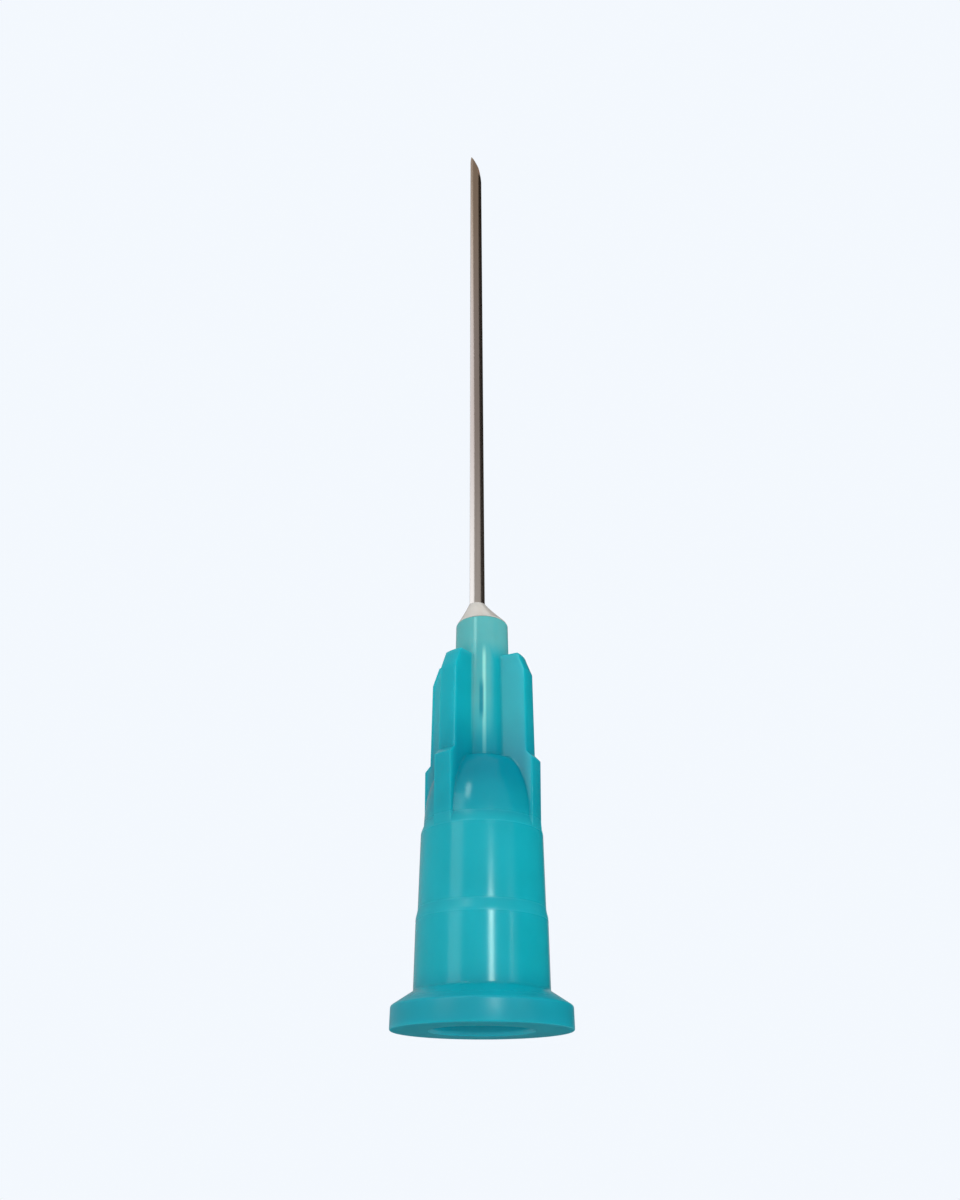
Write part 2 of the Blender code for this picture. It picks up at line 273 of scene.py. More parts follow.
def soft_path(points, rounding, steps=4):
    """A run of points with each inner corner rounded.

    Each corner P becomes the curve (1-t)^2 A + 2t(1-t) P + t^2 C, where A and C lie on its two
    edges at the rounding's distance, or at 0.45 of a shorter edge.
    """
    path = np.asarray(points, float)
    before = path[:-2] - path[1:-1]
    after = path[2:] - path[1:-1]
    reach_before = np.linalg.norm(before, axis=1, keepdims=True)
    reach_after = np.linalg.norm(after, axis=1, keepdims=True)
    cut = np.minimum(rounding, 0.45 * np.minimum(reach_before, reach_after))
    first = path[1:-1] + before / reach_before * cut
    last = path[1:-1] + after / reach_after * cut
    t = np.linspace(0, 1, steps + 1)[None, :, None]
    curves = (1 - t) ** 2 * first[:, None] + 2 * t * (1 - t) * path[1:-1, None] + t ** 2 * last[:, None]
    return np.concatenate([path[:1], curves.reshape(-1, 2), path[-1:]])


def soft_min(a, b, width):
    """The smaller of two surfaces, with their meeting edge rounded over a width."""
    meeting = np.maximum(width - np.abs(a - b), 0) / width
    return np.minimum(a, b) - meeting ** 2 * width / 4


def soft_max(a, b, width):
    """The larger of two surfaces, with their meeting edge filled over a width."""
    return -soft_min(-a, -b, width)


def tube_centre(height, cannula):
    """Where the cannula's axis is along X at a height: its offset at the nose and its lean."""
    return cannula.offset - np.tan(cannula.lean) * (height - HUB_LENGTH)


def core_radius(height, hub):
    """Radius of the hub without fins: a slow taper, then a quarter ellipse down to the barrel."""
    share = np.clip((HUB_LENGTH - height) / (HUB_LENGTH - hub.shoulder_start - hub.shoulder_height), 0, 1)
    taper = hub.nose_radius + (hub.core_radius - hub.nose_radius) * share
    rise = np.clip((height - hub.shoulder_start) / hub.shoulder_height, 0, 1)
    dome = hub.core_radius + (hub.shoulder_radius - hub.core_radius) * np.sqrt(1 - rise ** 2)
    return np.where(rise >= 1, taper, dome)


def fin_reach(height, fins):
    """How far a fin reaches from the axis at a height: its heel, its foot, its step, its chamfer."""
    heights = [fins.heel_height, fins.step_height, fins.step_height + fins.step_rise,
               fins.top_height - fins.chamfer_height, fins.top_height - fins.edge]
    reaches = [fins.heel_radius, fins.foot_radius, fins.radius, fins.radius, fins.crown_radius]
    return np.interp(height, heights, reaches)


def nose_path(hub, fins):
    """Radii and heights from the adhesive well's floor over the nose down to the fins' tops."""
    path = [(hub.well_floor, HUB_LENGTH - hub.well_depth), (hub.well_mouth, HUB_LENGTH),
            (hub.nose_radius, HUB_LENGTH), (core_radius(fins.top_height, hub), fins.top_height)]
    return soft_path(path, NOSE_ROUNDING, 5)


def outside_path(hub):
    """Radii and heights from the shoulder's foot down the barrel, the skirt and the flange."""
    slope_rise = np.tan(hub.flange_slope) * (hub.flange_radius - hub.skirt_radius)
    path = [(hub.shoulder_radius, hub.shoulder_start),
            (hub.barrel_radius - BARREL_DRAFT, hub.barrel_top),
            (hub.barrel_radius, hub.skirt_top + LEDGE_RISE),
            (hub.skirt_radius, hub.skirt_top),
            (hub.skirt_radius, hub.flange_wall + slope_rise),
            (hub.flange_radius, hub.flange_wall),
            (hub.flange_radius, 0.0),
            (hub.socket_mouth + MOUTH_CHAMFER, 0.0)]
    return soft_path(path, OUTER_ROUNDING)


def inside_path(hub):
    """Radii and heights from the socket's mouth up its taper and the passage to the bore."""
    socket_end = hub.socket_mouth - SOCKET_TAPER * hub.socket_depth
    path = [(hub.socket_mouth + MOUTH_CHAMFER, 0.0),
            (hub.socket_mouth, MOUTH_CHAMFER),
            (socket_end, hub.socket_depth),
            (hub.passage_radius, hub.passage_start),
            (hub.passage_radius, hub.passage_end),
            (hub.bore_radius, hub.passage_end)]
    return soft_path(path, INNER_ROUNDING)[1:-1]


def fin_heights(hub, fins):
    """Heights of the rows beside the fins, from their upper edge down to the shoulder's foot."""
    chamfer_foot = fins.top_height - fins.chamfer_height
    step_top = fins.step_height + fins.step_rise
    dome_turn = np.linspace(np.pi / 2, 0, 30)
    heights = np.concatenate([
        np.linspace(fins.top_height - fins.edge, chamfer_foot, 8),
        np.linspace(chamfer_foot, step_top, 22),
        np.linspace(step_top, fins.step_height, 8),
        hub.shoulder_start + hub.shoulder_height * np.sin(dome_turn),
    ])
    heights = np.unique(np.round(heights, 8))[::-1]
    return heights[heights > hub.shoulder_start + 1e-6]


def hub_rows(hub, fins):
    """The hub cut lengthwise, as a closed run of rows.

    Each row holds a radius without fins, a height, the share of the fins that shows, their reach
    and half width there, and the share by which the row is centred on the cannula.
    """

    def rows(path, share=0.0, centred=0.0):
        """Rows along a path, with the fins as they are at its heights."""
        path = np.asarray(path)
        plain = np.ones(len(path))
        return np.column_stack([path, plain * share, fin_reach(path[:, 1], fins),
                                plain * fins.half_width, plain * centred])

    def core_rows(heights, share=0.0):
        """Rows along the core at these heights."""
        return rows(np.column_stack([core_radius(heights, hub), heights]), share)

    top = core_rows(np.full(5, fins.top_height))
    top[:, 2] = np.linspace(0.15, 1, 5)
    top[:, 3] = fins.crown_radius - fins.edge
    top[:, 4] = fins.half_width - fins.edge
    edge_turn = np.linspace(0, np.pi / 2, 6)
    inset = fins.edge * (1 - np.sin(edge_turn))
    edge = core_rows(fins.top_height - fins.edge * (1 - np.cos(edge_turn)), 1.0)
    edge[:, 3] = fins.crown_radius - inset
    edge[:, 4] = fins.half_width - inset
    sides = core_rows(fin_heights(hub, fins), 1.0)
    barrel = rows(outside_path(hub))
    fin_foot = np.clip((barrel[:, 1] - hub.barrel_top) / FOOT_FADE, 0, 1)
    barrel[:, 2] = fin_foot * (barrel[:, 0] < hub.barrel_radius)
    well_floor = HUB_LENGTH - hub.well_depth
    bore = rows([(hub.bore_radius, hub.passage_end), (hub.bore_radius, well_floor)], centred=1.0)
    return np.concatenate([rows(nose_path(hub, fins)), top, edge[1:-1], sides, barrel,
                           rows(inside_path(hub)), bore])


def half_fin_turns(corner, root, middle):
    """Angles from a fin's middle to the middle of the slot, for every row at once.

    They are spread evenly between six marks: the fin's middle, both sides of its rounded corner,
    both sides of its blend into the core, and the middle of the slot.
    """
    corner_margin, root_margin = np.radians(0.9), np.radians(2.5)
    marks = [corner * 0, corner - corner_margin, corner + corner_margin,
             np.maximum(root - root_margin, corner + 2 * corner_margin), root + root_margin,
             corner * 0 + middle]
    counts = (5, 5, 8, 6, 16)
    runs = [start[:, None] + (end - start)[:, None] * np.arange(n) / n
            for start, end, n in zip(marks, marks[1:], counts)]
    return np.concatenate(runs, axis=1)


def hub_points(hub, fins, cannula):
    """Every point of the hub's surface.

    A point's radius is the larger of the core's radius and the fins' radius, with a fillet. A fin's
    radius at an angle d from its middle is the smaller of its reach and half width / sin(d).
    """
    core, height, share, reach, half_width, centred = hub_rows(hub, fins).T
    corner = np.arcsin(half_width / reach)
    root = np.arcsin(np.clip(half_width / np.maximum(core, hub.nose_radius), 0, 1))
    least_root = np.radians(16)
    root = np.maximum(root, least_root)
    wide, narrow = fins.spread, np.pi / 2 - fins.spread
    directions = [fins.cross_direction - wide, fins.cross_direction + wide,
                  fins.cross_direction + np.pi - wide, fins.cross_direction + np.pi + wide]
    turns = []
    for index, direction in enumerate(directions):
        after, before = (wide, narrow) if index % 2 == 0 else (narrow, wide)
        ahead = half_fin_turns(corner, root, after)
        behind = half_fin_turns(corner, root, before)
        first = direction - before * np.ones((len(core), 1))
        turns.append(np.concatenate([first, direction - behind[:, :0:-1], direction + ahead], axis=1))
    turn = np.concatenate(turns, axis=1)
    fin = np.zeros_like(turn)
    for direction in directions:
        away = turn - direction
        across = np.maximum(np.abs(np.sin(away)), 1e-6)
        plate = soft_min(reach[:, None] + 0 * turn, half_width[:, None] / across, fins.corner)
        fin = np.maximum(fin, np.where(np.cos(away) > 0, plate, 0))
    with_fins = soft_max(core[:, None] + 0 * turn, fin, fins.fillet)
    radius = core[:, None] + (with_fins - core[:, None]) * share[:, None]
    centre = centred * tube_centre(height, cannula)
    x = centre[:, None] + radius * np.sin(turn)
    y = -radius * np.cos(turn)
    return np.stack([x, y, np.broadcast_to(height[:, None], x.shape)], axis=-1)


def ground_height(x, y, cannula):
    """The height of the ground point over a place: the lowest of its three sloping planes.

    Each plane passes through the tip and falls away from it by the run along its own direction
    times the cotangent of its angle.
    """
    tip_x = tube_centre(POINT_HEIGHT, cannula) + cannula.radius * np.sin(cannula.point_direction)
    tip_y = -cannula.radius * np.cos(cannula.point_direction)
    facing = cannula.point_direction + np.pi
    planes = [(facing, cannula.bevel), (facing - cannula.lancet_turn, cannula.lancet),
              (facing + cannula.lancet_turn, cannula.lancet)]
    heights = [POINT_HEIGHT - ((x - tip_x) * np.sin(d) - (y - tip_y) * np.cos(d)) / np.tan(a)
               for d, a in planes]
    return np.minimum.reduce(heights)


def cannula_points(cannula):
    """The tube's surface: up the outside, over the ground face, down the lumen.

    Rows of the ground face lie at fixed radii, at the height of the ground planes there.
    """
    turn = np.linspace(0, 2 * np.pi, cannula.columns, endpoint=False) + cannula.point_direction
    wall = cannula.radius - cannula.lumen
    face_radii = cannula.lumen + wall * np.array([1.0, 0.985, 0.75, 0.5, 0.25, 0.015, 0.0])
    shaft = np.linspace(0, 1, 24)[:, None]

    def ring(radius, height):
        """A round of points at a radius from the leaning axis, at these heights."""
        x = tube_centre(height, cannula) + radius * np.sin(turn)
        return np.stack([x, -radius * np.cos(turn) + 0 * x, height + 0 * x], axis=-1)

    def ground(radius):
        """The heights of the ground face at a radius, found in four rounds as the tube leans."""
        height = np.full_like(turn, POINT_HEIGHT)
        for _ in range(4):
            x = tube_centre(height, cannula) + radius * np.sin(turn)
            height = ground_height(x, -radius * np.cos(turn), cannula)
        return height

    foot = CANNULA_FOOT
    start = foot + cannula.end_edge
    outer_top = ground(cannula.radius)
    inner_top = ground(cannula.lumen)
    outer = ring(cannula.radius, start + (outer_top - start) * shaft)
    face = np.stack([ring(radius, ground(radius)) for radius in face_radii[1:-1]])
    inner = ring(cannula.lumen, inner_top + (start - inner_top) * shaft)
    end = [ring(cannula.lumen + cannula.end_edge, foot + 0 * turn),
           ring(cannula.radius - cannula.end_edge, foot + 0 * turn)]
    return np.concatenate([outer, face, inner, np.stack(end)])[::-1]


def bead_points(adhesive, hub, cannula):
    """The bead's surface: up the hole, down the hollow slope, over the rim and into the well.

    At a share s up the slope the radius is the tip's plus the rest times (1-s) to the power of
    the hollow, and the bead's middle moves from the hub's axis to the cannula's in the same way.
    """
    hole = cannula.radius + adhesive.bond_line
    tip = hole + adhesive.tip
    brim = HUB_LENGTH + adhesive.bond_line
    s = np.linspace(0, 1, 26)
    spread = (1 - s) ** adhesive.hollow
    slope_height = brim + adhesive.brim + (BEAD_TOP - brim - adhesive.brim) * s
    slope = np.column_stack([tip + (adhesive.radius - tip) * spread, slope_height, 1 - spread])
    wall_slope = (hub.well_mouth - hub.well_floor) / hub.well_depth
    mouth = hub.well_mouth - adhesive.bond_line
    well = [(hole, BEAD_FLOOR, 1.0), (mouth - wall_slope * (brim - BEAD_FLOOR), BEAD_FLOOR, 0.0),
            (mouth, brim, 0.0), (adhesive.radius, brim, 0.0)]
    rows = np.concatenate([well, slope, [(hole, BEAD_TOP, 1.0)]])
    radius, height, centred = rows.T
    turn = np.linspace(0, 2 * np.pi, 144, endpoint=False)
    x = (centred * tube_centre(height, cannula))[:, None] + radius[:, None] * np.sin(turn)
    y = -radius[:, None] * np.cos(turn)
    return np.stack([x, y, np.broadcast_to(height[:, None], x.shape)], axis=-1)


def new_group(name, inputs, outputs):
    """A shader node group with named inputs, each with its default, and named outputs."""
    group = bpy.data.node_groups.new(name, "ShaderNodeTree")
    for label, kind, default in inputs:
        group.interface.new_socket(label, in_out="INPUT", socket_type=kind).default_value = default
    for label, kind in outputs:
        group.interface.new_socket(label, in_out="OUTPUT", socket_type=kind)
    return group, group.nodes.new("NodeGroupInput"), group.nodes.new("NodeGroupOutput")


def feed(tree, value, socket):
    """Links a socket to another one, or gives it a plain value."""
    if isinstance(value, bpy.types.NodeSocket):
        tree.links.new(value, socket)
    else:
        socket.default_value = value


def opaque(tint):
    """A colour with full alpha."""
    return (*tint, 1.0)


def add_math(tree, operation, first, second=0.0):
    """A Math node whose inputs are sockets or plain values."""
    node = tree.nodes.new("ShaderNodeMath")
    node.operation = operation
    feed(tree, first, node.inputs[0])
    feed(tree, second, node.inputs[1])
    return node.outputs[0]


def add_vector(tree, operation, first, second=(0.0, 0.0, 0.0)):
    """A Vector Math node, with its value for a length and its vector for anything else."""
    node = tree.nodes.new("ShaderNodeVectorMath")
    node.operation = operation
    feed(tree, first, node.inputs[0])
    feed(tree, second, node.inputs[1])
    return node.outputs["Value" if operation == "LENGTH" else "Vector"]


def add_step(tree, source, low, high, first=0.0, last=1.0):
    """A value that goes smoothly from first to last while the source passes from low to high."""
    node = tree.nodes.new("ShaderNodeMapRange")
    node.interpolation_type = "SMOOTHSTEP"
    for label, value in (("From Min", low), ("From Max", high), ("To Min", first), ("To Max", last)):
        node.inputs[label].default_value = value
    tree.links.new(source, node.inputs["Value"])
    return node.outputs["Result"]


def add_mix(tree, mask, first, second):
    """A mix of two colours by a mask."""
    node = tree.nodes.new("ShaderNodeMix")
    node.data_type = "RGBA"
    feed(tree, mask, node.inputs[0])
    feed(tree, first, node.inputs[6])
    feed(tree, second, node.inputs[7])
    return node.outputs[2]


def surface_group():
    """Slow waves and fine grain of a cast or moulded surface, as a height and a cloud mask."""
    group, given, result = new_group(
        "cast_surface",
        [("Wave Scale", "NodeSocketFloat", 600.0), ("Grain Scale", "NodeSocketFloat", 9000.0),
         ("Grain Share", "NodeSocketFloat", 0.25)],
        [("Height", "NodeSocketFloat"), ("Cloud", "NodeSocketFloat")])
    place = group.nodes.new("ShaderNodeTexCoord")
    wave = group.nodes.new("ShaderNodeTexNoise")
    grain = group.nodes.new("ShaderNodeTexNoise")
    wave.inputs["Detail"].default_value = 2.0
    grain.inputs["Detail"].default_value = 3.0
    group.links.new(place.outputs["Object"], wave.inputs["Vector"])
    group.links.new(place.outputs["Object"], grain.inputs["Vector"])
    group.links.new(given.outputs["Wave Scale"], wave.inputs["Scale"])
    group.links.new(given.outputs["Grain Scale"], grain.inputs["Scale"])
    share = add_math(group, "MULTIPLY", grain.outputs["Fac"], given.outputs["Grain Share"])
    height = add_math(group, "ADD", wave.outputs["Fac"], share)
    group.links.new(height, result.inputs["Height"])
    group.links.new(wave.outputs["Fac"], result.inputs["Cloud"])
    return group


def marks_group():
    """Fine lines along one axis, such as drawing lines and handling marks, as a mask."""
    group, given, result = new_group(
        "fine_lines",
        [("Across", "NodeSocketFloat", 9000.0), ("Along", "NodeSocketFloat", 60.0)],
        [("Lines", "NodeSocketFloat")])
    place = group.nodes.new("ShaderNodeTexCoord")
    split = group.nodes.new("ShaderNodeSeparateXYZ")
    join = group.nodes.new("ShaderNodeCombineXYZ")
    lines = group.nodes.new("ShaderNodeTexNoise")
    lines.inputs["Scale"].default_value = 1.0
    lines.inputs["Detail"].default_value = 4.0
    group.links.new(place.outputs["Object"], split.inputs[0])
    for axis, factor in (("X", "Across"), ("Y", "Across"), ("Z", "Along")):
        scaled = add_math(group, "MULTIPLY", split.outputs[axis], given.outputs[factor])
        group.links.new(scaled, join.inputs[axis])
    group.links.new(join.outputs[0], lines.inputs["Vector"])
    group.links.new(lines.outputs["Fac"], result.inputs["Lines"])
    return group


def wall_group():
    """What the moulding's wall does to its look, with painted light and shade among it, as masks by
    height and place.

    Thick is where the wall is thick, with painted shade over the domed shoulder as well; Backed is where
    adhesive lies behind the nose, with a painted lighter stripe down the core as well; Lit is a painted
    highlight stripe on the core; Tube is where the cannula's end shows through it; and Matt is where its
    gloss is dull.
    Spans and places are in millimetres.
    """
    masks = ("Thick_and_shade", "Backed_and_lit_side", "Lit", "Tube", "Matt")
    group, _, result = new_group("wall_masks", [], [(mask, "NodeSocketFloat") for mask in masks])
    place = group.nodes.new("ShaderNodeTexCoord").outputs["Object"]
    split = group.nodes.new("ShaderNodeSeparateXYZ")
    group.links.new(place, split.inputs[0])
    side, height = split.outputs["X"], split.outputs["Z"]
    radius = add_vector(group, "LENGTH", add_vector(group, "MULTIPLY", place, (1.0, 1.0, 0.0)))

    def rise(source, span, first=0.0, last=1.0):
        """A mask that changes smoothly over a span of its source."""
        return add_step(group, source, span[0] * MM, span[1] * MM, first, last)

    def fall(source, span, first=1.0, last=0.0):
        """A mask that goes down over a span of its source."""
        return rise(source, span, first, last)

    def off(source, middle):
        """How far a source is from a place, to either side."""
        return add_math(group, "ABSOLUTE", add_math(group, "SUBTRACT", source, middle * MM))

    def times(first, second):
        """The product of two masks."""
        return add_math(group, "MULTIPLY", first, second)

    def stripe(middle, edge, span):
        """An upright stripe on the core, with a soft edge, which grows over a span of height."""
        return times(core, times(fall(off(side, middle), edge), rise(height, span)))

    flange = fall(height, (0.9, 2.4), 0.52)
    # Painted shade as well as thick plastic: the domed shoulder and the fins' lower parts are darkened,
    # less towards the fins' outer edges.
    shoulder = times(rise(height, (7.6, 8.9)), fall(height, (10.6, 14.0)))
    shoulder = times(shoulder, fall(radius, (2.40, 2.90), 1.0, 0.35))
    group.links.new(add_math(group, "MAXIMUM", flange, shoulder), result.inputs["Thick_and_shade"])

    matt = fall(height, (0.9, 1.8))
    for ledge in LEDGES:
        matt = add_math(group, "MAXIMUM", matt, fall(off(height, ledge), (0.2, 0.45)))
    group.links.new(matt, result.inputs["Matt"])

    core = fall(radius, (1.46, 1.60))
    strength = 0.8
    # Painted light: a lighter stripe down the core, off towards -X, on its lit side. Only the nose above
    # has adhesive behind it.
    adhesive = times(stripe(-0.1, (0.4, 0.75), (11.5, 14.5)), strength)
    nose = rise(height, (16.2, 17.4))
    group.links.new(add_math(group, "MAXIMUM", adhesive, nose), result.inputs["Backed_and_lit_side"])

    # Painted highlight: a narrow bright stripe on the core, fading out below the nose.
    lit = times(stripe(0.11, (0.02, 0.14), (10.0, 15.6)), fall(height, (16.3, 17.2)))
    group.links.new(lit, result.inputs["Lit"])

    tube = times(stripe(-0.03, (0.05, 0.15), (12.9, 13.6)), strength)
    group.links.new(times(tube, fall(height, (14.6, 15.4))), result.inputs["Tube"])
    return group


def shared_group(name, maker):
    """A node group of this name, built the first time it is asked for."""
    return bpy.data.node_groups.get(name) or maker()


def new_material(name, **values):
    """A material with a Principled BSDF and these plain values on its sockets."""
    material = bpy.data.materials.new(name)
    material.use_nodes = True
    tree = material.node_tree
    shader = tree.nodes["Principled BSDF"]
    for label, value in values.items():
        shader.inputs[label.replace("_", " ")].default_value = value
    return material, tree, shader


def place_group(tree, group, **values):
    """A node group placed in a material with its own values."""
    node = tree.nodes.new("ShaderNodeGroup")
    node.node_tree = group
    for label, value in values.items():
        node.inputs[label.replace("_", " ")].default_value = value
    return node


def link_range(tree, source, target, low, high):
    """A noise spread smoothly over a range of values."""
    tree.links.new(add_step(tree, source, *NOISE_RANGE, low, high), target)


def link_tint(tree, source, target, tint, low, high):
    """A colour that a noise makes darker and lighter between two shares of itself."""
    shade = tree.nodes.new("ShaderNodeHueSaturation")
    feed(tree, tint, shade.inputs["Color"])
    tree.links.new(add_step(tree, source, *NOISE_RANGE, low, high), shade.inputs["Value"])
    tree.links.new(shade.outputs[0], target)


def link_bump(tree, source, shader, strength, distance):
    """A bump on the shader from a height."""
    bump = tree.nodes.new("ShaderNodeBump")
    bump.inputs["Strength"].default_value = strength
    bump.inputs["Distance"].default_value = distance
    tree.links.new(source, bump.inputs["Height"])
    tree.links.new(bump.outputs["Normal"], shader.inputs["Normal"])


def plastic_material(colours):
    """Translucent moulded plastic, a little cloudy, with a waxy gloss, and painted shade, painted light
    and a painted highlight from the wall's masks.
    """
    material, tree, shader = new_material(
        "hub_plastic", IOR=1.49, Specular_IOR_Level=0.35, Transmission_Weight=0.2,
        Subsurface_Weight=0.6, Subsurface_Radius=(0.2, 0.9, 1.0), Subsurface_Scale=0.8 * MM)
    surface = place_group(tree, shared_group("cast_surface", surface_group), Wave_Scale=500.0)
    wall = place_group(tree, shared_group("wall_masks", wall_group))
    tint = opaque(colours.plastic)
    for mask, other in (("Thick_and_shade", colours.solid_and_shade), ("Backed_and_lit_side", colours.nose),
                        ("Lit", colours.lit), ("Tube", colours.solid_and_shade)):
        tint = add_mix(tree, wall.outputs[mask], tint, opaque(other))
    link_tint(tree, surface.outputs["Cloud"], shader.inputs["Base Color"], tint, 0.95, 1.05)
    gloss = add_step(tree, surface.outputs["Cloud"], *NOISE_RANGE, 0.15, 0.19)
    dull = add_math(tree, "MULTIPLY", wall.outputs["Matt"], MATT_ROUGHNESS)
    tree.links.new(add_math(tree, "MAXIMUM", gloss, dull), shader.inputs["Roughness"])
    return material


def steel_material(colours):
    """Drawn stainless steel with fine lines along the tube, a painted reflection that brightens it by the
    hub, and warmer towards the ground point.
    """
    material, tree, shader = new_material("cannula_steel")
    lines = place_group(tree, shared_group("fine_lines", marks_group), Across=14000.0, Along=90.0)
    place = tree.nodes.new("ShaderNodeTexCoord").outputs["Object"]
    split = tree.nodes.new("ShaderNodeSeparateXYZ")
    tree.links.new(place, split.inputs[0])
    # Painted reflection: the steel is brighter by the hub up to 18 mm and fades to plain steel by 34 mm.
    above_hub = add_step(tree, split.outputs["Z"], 18 * MM, 34 * MM)
    near_point = add_step(tree, split.outputs["Z"], 36 * MM, 57 * MM)
    steel = add_mix(tree, above_hub, opaque(colours.steel_with_painted_reflection), opaque(colours.steel))
    steel = add_mix(tree, near_point, steel, opaque(colours.warm_steel))
    offset = add_vector(tree, "SUBTRACT", place, SPOT_MIDDLE)
    reach = add_vector(tree, "LENGTH", add_vector(tree, "DIVIDE", offset, SPOT_RADII))
    spot = add_step(tree, reach, 0.3, 1.0, 0.8, 0.0)
    steel = add_mix(tree, spot, steel, opaque(colours.rust))
    tree.links.new(add_math(tree, "SUBTRACT", 1.0, spot), shader.inputs["Metallic"])
    link_tint(tree, lines.outputs["Lines"], shader.inputs["Base Color"], steel, 0.95, 1.04)
    link_range(tree, lines.outputs["Lines"], shader.inputs["Roughness"], 0.22, 0.26)
    return material


def resin_material(colours):
    """Cured adhesive, milky and glossy."""
    material, tree, shader = new_material(
        "adhesive_resin", IOR=1.5, Transmission_Weight=0.35, Subsurface_Weight=0.3,
        Subsurface_Radius=(1.0, 0.95, 0.85), Subsurface_Scale=0.5 * MM)
    surface = place_group(tree, shared_group("cast_surface", surface_group), Wave_Scale=1400.0,
                          Grain_Scale=6000.0, Grain_Share=0.1)
    resin = opaque(colours.resin)
    link_tint(tree, surface.outputs["Cloud"], shader.inputs["Base Color"], resin, 0.96, 1.03)
    link_range(tree, surface.outputs["Cloud"], shader.inputs["Roughness"], 0.14, 0.22)
    link_bump(tree, surface.outputs["Height"], shader, 0.1, 0.01 * MM)
    return material


def towards(azimuth, elevation):
    """The unit vector towards an azimuth, counted from the front to +X, and an elevation."""
    a, e = np.radians(azimuth), np.radians(elevation)
    return np.array([np.sin(a) * np.cos(e), -np.cos(a) * np.cos(e), np.sin(e)])


def add_lamp(name, azimuth, elevation, size, glow, tint, only, soft):
    """A rectangular lamp at a direction from the middle of the hub, turned towards it.

    Its power is its glow times pi and its area. A soft lamp lights without showing in the gloss,
    and any other one shows in the gloss alone. A lamp can be kept to a single piece.
    """
    lamp = bpy.data.lights.new(name, "AREA")
    lamp.shape = "RECTANGLE"
    lamp.size, lamp.size_y = size
    lamp.energy = glow * np.pi * size[0] * size[1]
    lamp.color = tint
    made = bpy.data.objects.new(name, lamp)
    made.visible_diffuse = soft
    made.visible_glossy = not soft
    made.visible_transmission = False
    bpy.context.scene.collection.objects.link(made)
    made.location = LAMP_DISTANCE * towards(azimuth, elevation) + (0.0, 0.0, HUB_LENGTH / 2)
    made.rotation_euler = (np.radians(90 - elevation), 0.0, np.radians(azimuth))
    if only:
        receivers = bpy.data.collections.new(name)
        receivers.objects.link(bpy.data.objects[only])
        made.light_linking.receiver_collection = receivers


def stage_plate(name, corners, material):
    """A flat plate of the stage between four corners, with its material."""
    mesh = bpy.data.meshes.new(name)
    mesh.from_pydata(corners, [], [(0, 1, 2, 3)])
    mesh.materials.append(material)
    plate = bpy.data.objects.new(name, mesh)
    bpy.context.scene.collection.objects.link(plate)
    return plate


def add_floor(settings):
    """A pale floor with the needle's shadow, seen only from above and fading into the backdrop."""
    tint = opaque(FLOOR_SHADE * value for value in settings.backdrop)
    material, tree, shader = new_material("floor", Base_Color=tint, Roughness=1.0,
                                          Specular_IOR_Level=0.0)
    path = tree.nodes.new("ShaderNodeLightPath")
    side = tree.nodes.new("ShaderNodeNewGeometry")
    clear = tree.nodes.new("ShaderNodeBsdfTransparent")
    mix = tree.nodes.new("ShaderNodeMixShader")
    place = tree.nodes.new("ShaderNodeTexCoord").outputs["Object"]
    near = add_step(tree, add_vector(tree, "LENGTH", place), *FLOOR_FADE, 1.0, 0.0)
    above = add_math(tree, "SUBTRACT", 1.0, side.outputs["Backfacing"])
    seen = add_math(tree, "MULTIPLY", path.outputs["Is Camera Ray"], above)
    tree.links.new(add_math(tree, "MULTIPLY", seen, near), mix.inputs[0])
    tree.links.new(clear.outputs[0], mix.inputs[1])
    tree.links.new(shader.outputs[0], mix.inputs[2])
    tree.links.new(mix.outputs[0], tree.nodes["Material Output"].inputs["Surface"])
    corners = [(i * FLOOR_REACH, j * FLOOR_REACH, -FLOOR_DROP) for i, j in SQUARE]
    floor = stage_plate("floor", corners, material)


def add_world(settings):
    """Even pale light from all round, dimmer in the gloss, and the backdrop where it is looked at."""
    world = bpy.data.worlds.new("studio")
    bpy.context.scene.world = world
    world.use_nodes = True
    tree = world.node_tree
    path = tree.nodes.new("ShaderNodeLightPath").outputs
    seen = add_math(tree, "MAXIMUM", path["Is Camera Ray"], path["Is Transmission Ray"])
    result = tree.nodes["Background"].outputs[0]
    tree.nodes["Background"].inputs["Color"].default_value = opaque(FILL_TINT)
    tree.nodes["Background"].inputs["Strength"].default_value = settings.fill
    for mask, tint, strength in ((path["Is Glossy Ray"], SHEEN_TINT, settings.sheen),
                                 (seen, settings.backdrop, 1.0)):
        other = tree.nodes.new("ShaderNodeBackground")
        other.inputs["Color"].default_value = opaque(tint)
        other.inputs["Strength"].default_value = strength
        mix = tree.nodes.new("ShaderNodeMixShader")
        tree.links.new(mask, mix.inputs[0])
        tree.links.new(result, mix.inputs[1])
        tree.links.new(other.outputs[0], mix.inputs[2])
        result = mix.outputs[0]
    tree.links.new(result, tree.nodes["World Output"].inputs["Surface"])


def add_card(name, azimuth, elevation, distance, size, shade):
    """A dark card that only reflections show, for the shaded side of the steel."""
    away = towards(azimuth, elevation)
    right = towards(azimuth + 90, 0)
    up = np.cross(right, away)
    corners = [distance * away + size / 2 * (i * right + j * up) for i, j in SQUARE]
    tint = opaque(shade * share for share in CARD_TINT)
    material, _, _ = new_material(name, Base_Color=tint, Roughness=1.0)
    card = stage_plate(name, corners, material)
    card.visible_camera = False
    card.visible_diffuse = False
    card.visible_transmission = False
    card.visible_shadow = False


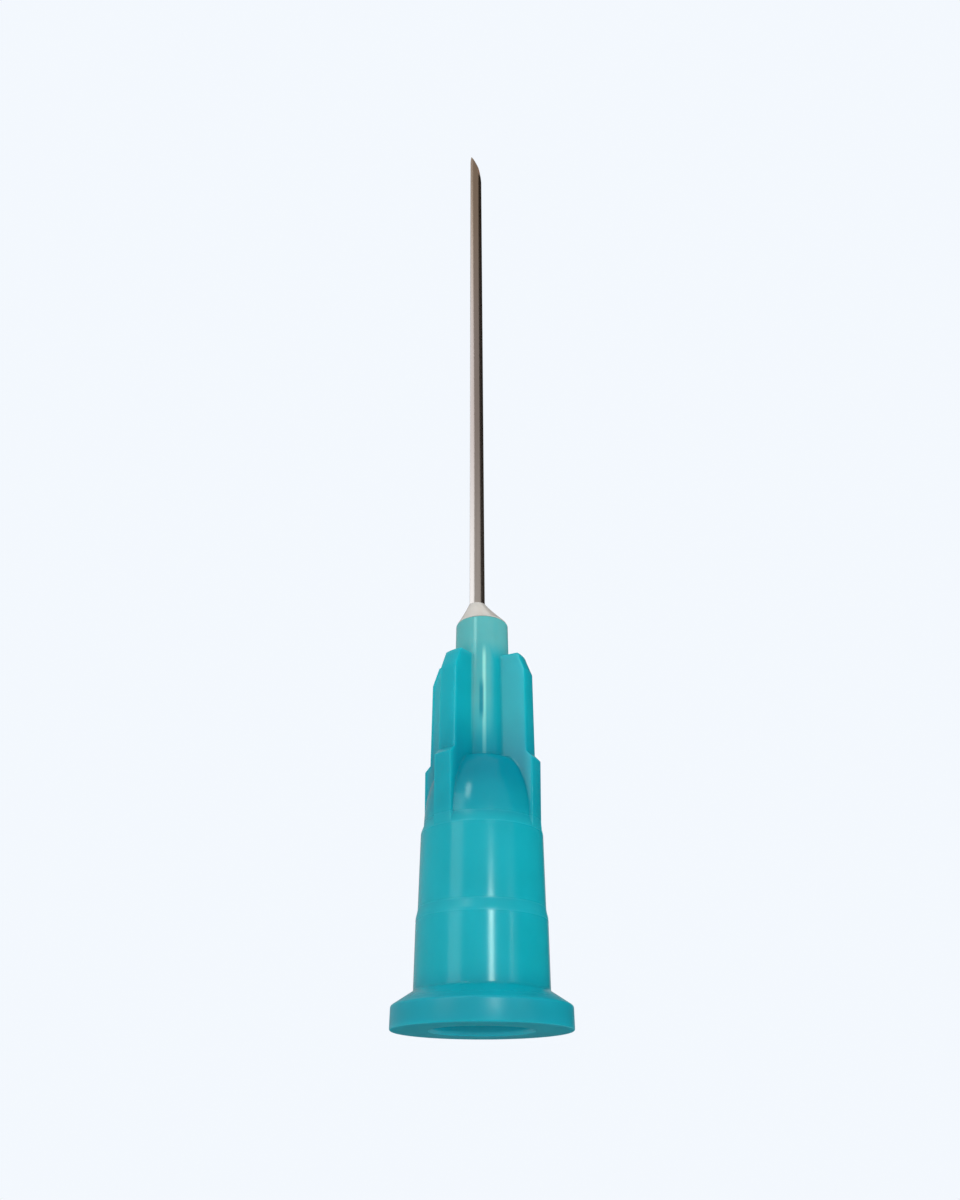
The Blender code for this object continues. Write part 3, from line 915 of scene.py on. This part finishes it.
def add_camera(settings):
    """The camera below the flange's plane, looking up along the needle."""
    camera = bpy.data.cameras.new("camera")
    camera.sensor_fit = "AUTO"
    camera.sensor_width = SENSOR_WIDTH
    camera.lens = settings.lens
    camera.shift_x = SHIFT_ACROSS / PICTURE_HEIGHT
    camera.shift_y = SHIFT_UP / PICTURE_HEIGHT
    camera.clip_start = MM
    made = bpy.data.objects.new("camera", camera)
    bpy.context.scene.collection.objects.link(made)
    made.location = (0.0, -settings.distance, settings.height)
    made.rotation_euler = (np.pi / 2 + settings.tilt, 0.0, 0.0)
    bpy.context.scene.camera = made


class NEEDLE_OT_hub(Operator):
    """Builds the moulded hub with its fins, shoulder, flange and socket."""
    bl_idname = "needle.hub"
    bl_label = "Hub"

    def execute(self, context):
        scene = context.scene
        points = hub_points(scene.needle_hub, scene.needle_fins, scene.needle_cannula)
        piece = shape_mesh("hub_body", points)
        dress(piece, "hub", plastic_material(scene.needle_colours))
        return {"FINISHED"}


class NEEDLE_OT_cannula(Operator):
    """Builds the steel tube with its ground point."""
    bl_idname = "needle.cannula"
    bl_label = "Cannula"

    def execute(self, context):
        scene = context.scene
        piece = shape_mesh("cannula_tube", cannula_points(scene.needle_cannula), 8)
        dress(piece, "cannula", steel_material(scene.needle_colours))
        return {"FINISHED"}


class NEEDLE_OT_adhesive(Operator):
    """Builds the cured bead that bonds the cannula in the nose."""
    bl_idname = "needle.adhesive"
    bl_label = "Adhesive"

    def execute(self, context):
        scene = context.scene
        points = bead_points(scene.needle_adhesive, scene.needle_hub, scene.needle_cannula)
        piece = shape_mesh("adhesive_bead", points)
        dress(piece, "adhesive", resin_material(scene.needle_colours))
        return {"FINISHED"}


class NEEDLE_OT_stage(Operator):
    """Sets up the floor, the backdrop, the lamps and the camera."""
    bl_idname = "needle.stage"
    bl_label = "Stage"

    def execute(self, context):
        scene = context.scene
        settings = scene.needle_stage
        scene.view_settings.view_transform = "Standard"
        add_world(settings)
        add_floor(settings)
        add_camera(settings)
        for lamps, soft in ((SOFT_LAMPS, True), (GLOSS_LAMPS, False)):
            for name, azimuth, elevation, size, glow, tint, only in lamps:
                add_lamp(name, azimuth, elevation, size, glow * settings.lamps, tint, only, soft)
        for card in CARDS:
            add_card(*card)
        return {"FINISHED"}


class NEEDLE_PT_panel(Panel):
    """Lists the steps that build the needle."""
    bl_idname = "NEEDLE_PT_panel"
    bl_label = "Needle"
    bl_space_type = "VIEW_3D"
    bl_region_type = "UI"
    bl_category = "Needle"

    def draw(self, context):
        for step in STEPS:
            self.layout.operator(step.bl_idname)
        for name in GROUPS:
            settings = getattr(context.scene, name)
            box = self.layout.box()
            for label in settings.__annotations__:
                box.prop(settings, label)


GROUPS = {
    "needle_hub": HubSizes,
    "needle_fins": FinSizes,
    "needle_cannula": CannulaSizes,
    "needle_adhesive": AdhesiveSizes,
    "needle_colours": FinishColours,
    "needle_stage": StageSettings,
}
STEPS = (NEEDLE_OT_hub, NEEDLE_OT_cannula, NEEDLE_OT_adhesive, NEEDLE_OT_stage)


def register():
    """Registers every class and puts the settings on the scene."""
    for made in (*GROUPS.values(), *STEPS, NEEDLE_PT_panel):
        bpy.utils.register_class(made)
    for name, group in GROUPS.items():
        setattr(bpy.types.Scene, name, PointerProperty(type=group))


def unregister():
    """Takes the settings off the scene and unregisters every class."""
    for name in GROUPS:
        delattr(bpy.types.Scene, name)
    for made in reversed((*GROUPS.values(), *STEPS, NEEDLE_PT_panel)):
        bpy.utils.unregister_class(made)


def main():
    """Builds the needle and its stage."""
    register()
    bpy.ops.needle.hub()
    bpy.ops.needle.cannula()
    bpy.ops.needle.adhesive()
    bpy.ops.needle.stage()


if __name__ == "__main__":
    main()
